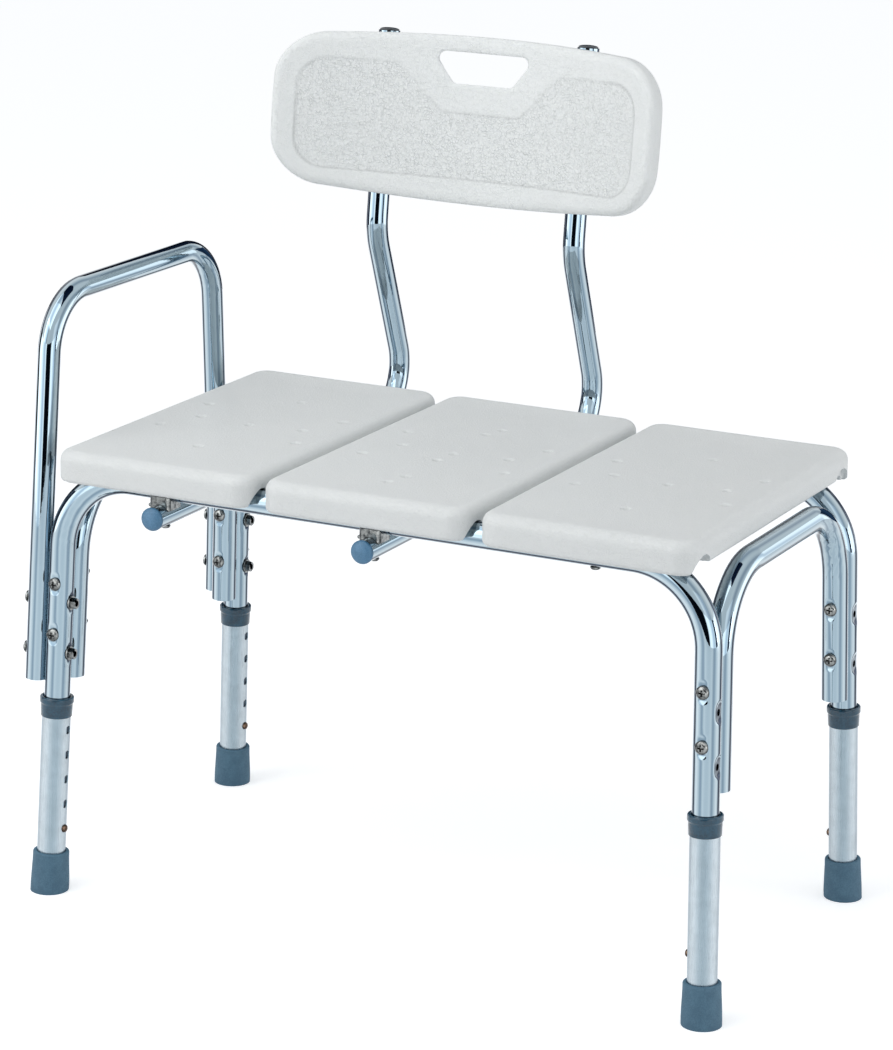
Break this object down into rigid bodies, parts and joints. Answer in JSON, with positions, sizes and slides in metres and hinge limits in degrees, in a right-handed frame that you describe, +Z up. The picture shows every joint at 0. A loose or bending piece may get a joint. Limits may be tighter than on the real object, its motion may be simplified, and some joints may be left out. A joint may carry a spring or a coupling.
{
  "type": "transfer bath bench",
  "caption": "Transfer bath bench with a panelled plastic seat, a curved backrest with a hand slot, an arm rail and telescoping legs with rubber tips.",
  "frame": {"origin": "on the floor, under the middle of the bench's outline seen from above", "axes": "+X along the seat away from the arm rail, +Y towards the backrest, +Z up"},
  "size_m": [0.746, 0.5306, 0.8091],
  "materials": {
    "chromed_tube": "bright chrome plate on round steel tube",
    "satin_aluminium": "satin, fine lengthwise drawing lines",
    "seat_plastic": "off-white blow-moulded plastic with a fine leather grain",
    "cap_plastic": "blue-grey moulded plastic",
    "dark_plastic": "near-black moulded plastic",
    "collar_plastic": "dark blue-grey moulded plastic",
    "tip_rubber": "blue-grey rubber",
    "button_brass": "brownish brass",
    "plated_steel": "bright zinc plate"
  },
  "bodies": {
    "bench": {"front_rail_frame": "chromed_tube", "rear_rail_frame": "chromed_tube", "left_cross_frame": "chromed_tube", "right_cross_frame": "chromed_tube", "arm_rail": "chromed_tube", "back_post_left": "chromed_tube", "back_post_right": "chromed_tube", "seat_panel_left": "seat_plastic", "seat_panel_middle": "seat_plastic", "seat_panel_right": "seat_plastic", "backrest_panel": "seat_plastic", "post_front_cap_left": "cap_plastic", "post_front_cap_right": "cap_plastic", "post_top_cap_left": "dark_plastic", "post_top_cap_right": "dark_plastic", "post_saddle_front_left": "plated_steel", "post_saddle_front_right": "plated_steel", "post_saddle_rear_left": "plated_steel", "post_saddle_rear_right": "plated_steel", "snap_spring_front_left": "plated_steel", "snap_spring_front_right": "plated_steel", "snap_spring_rear_left": "plated_steel", "snap_spring_rear_right": "plated_steel", "cross_bolt_front_left_upper": "plated_steel", "cross_bolt_front_left_lower": "plated_steel", "cross_bolt_front_right_upper": "plated_steel", "cross_bolt_front_right_lower": "plated_steel", "cross_bolt_rear_left_upper": "plated_steel", "cross_bolt_rear_left_lower": "plated_steel", "cross_bolt_rear_right_upper": "plated_steel", "cross_bolt_rear_right_lower": "plated_steel", "arm_bolt_front_upper": "plated_steel", "arm_bolt_front_lower": "plated_steel", "arm_bolt_rear_upper": "plated_steel", "arm_bolt_rear_lower": "plated_steel", "post_screw_front_left": "plated_steel", "post_screw_front_right": "plated_steel", "post_screw_rear_left": "plated_steel", "post_screw_rear_right": "plated_steel", "seat_screw_front": "plated_steel", "seat_screw_rear": "plated_steel", "backrest_screw_left": "plated_steel", "backrest_screw_right": "plated_steel"},
    "leg_front_left": {"leg_extension_front_left": "satin_aluminium", "leg_collar_front_left": "collar_plastic", "foot_tip_front_left": "tip_rubber"},
    "leg_front_right": {"leg_extension_front_right": "satin_aluminium", "leg_collar_front_right": "collar_plastic", "foot_tip_front_right": "tip_rubber"},
    "leg_rear_left": {"leg_extension_rear_left": "satin_aluminium", "leg_collar_rear_left": "collar_plastic", "foot_tip_rear_left": "tip_rubber"},
    "leg_rear_right": {"leg_extension_rear_right": "satin_aluminium", "leg_collar_rear_right": "collar_plastic", "foot_tip_rear_right": "tip_rubber"},
    "button_front_left": {"snap_button_front_left": "button_brass"},
    "button_front_right": {"snap_button_front_right": "button_brass"},
    "button_rear_left": {"snap_button_rear_left": "button_brass"},
    "button_rear_right": {"snap_button_rear_right": "button_brass"}
  },
  "joints": [
    {"name": "leg_slide_front_left", "type": "slide", "parent": "bench", "child": "leg_front_left", "axis": [-0.0331, -0.0314, -0.999], "range_m": [0, 0.1016], "deforming": ["snap_button_front_left"]},
    {"name": "leg_slide_front_right", "type": "slide", "parent": "bench", "child": "leg_front_right", "axis": [0.0331, -0.0314, -0.999], "range_m": [0, 0.1016], "deforming": ["snap_button_front_right"]},
    {"name": "leg_slide_rear_left", "type": "slide", "parent": "bench", "child": "leg_rear_left", "axis": [-0.0331, 0.0314, -0.999], "range_m": [0, 0.1016], "deforming": ["snap_button_rear_left"]},
    {"name": "leg_slide_rear_right", "type": "slide", "parent": "bench", "child": "leg_rear_right", "axis": [0.0331, 0.0314, -0.999], "range_m": [0, 0.1016], "deforming": ["snap_button_rear_right"]},
    {"name": "button_press_front_left", "type": "slide", "parent": "bench", "child": "button_front_left", "axis": [-0.9995, 0.001, 0.0331], "range_m": [0, 0.0042], "stiffness_N_per_m": 2000, "deforming": ["snap_spring_front_left"]},
    {"name": "button_press_front_right", "type": "slide", "parent": "bench", "child": "button_front_right", "axis": [0.9995, 0.001, 0.0331], "range_m": [0, 0.0042], "stiffness_N_per_m": 2000, "deforming": ["snap_spring_front_right"]},
    {"name": "button_press_rear_left", "type": "slide", "parent": "bench", "child": "button_rear_left", "axis": [-0.9995, -0.001, 0.0331], "range_m": [0, 0.0042], "stiffness_N_per_m": 2000, "deforming": ["snap_spring_rear_left"]},
    {"name": "button_press_rear_right", "type": "slide", "parent": "bench", "child": "button_rear_right", "axis": [0.9995, -0.001, 0.0331], "range_m": [0, 0.0042], "stiffness_N_per_m": 2000, "deforming": ["snap_spring_rear_right"]}
  ]
}
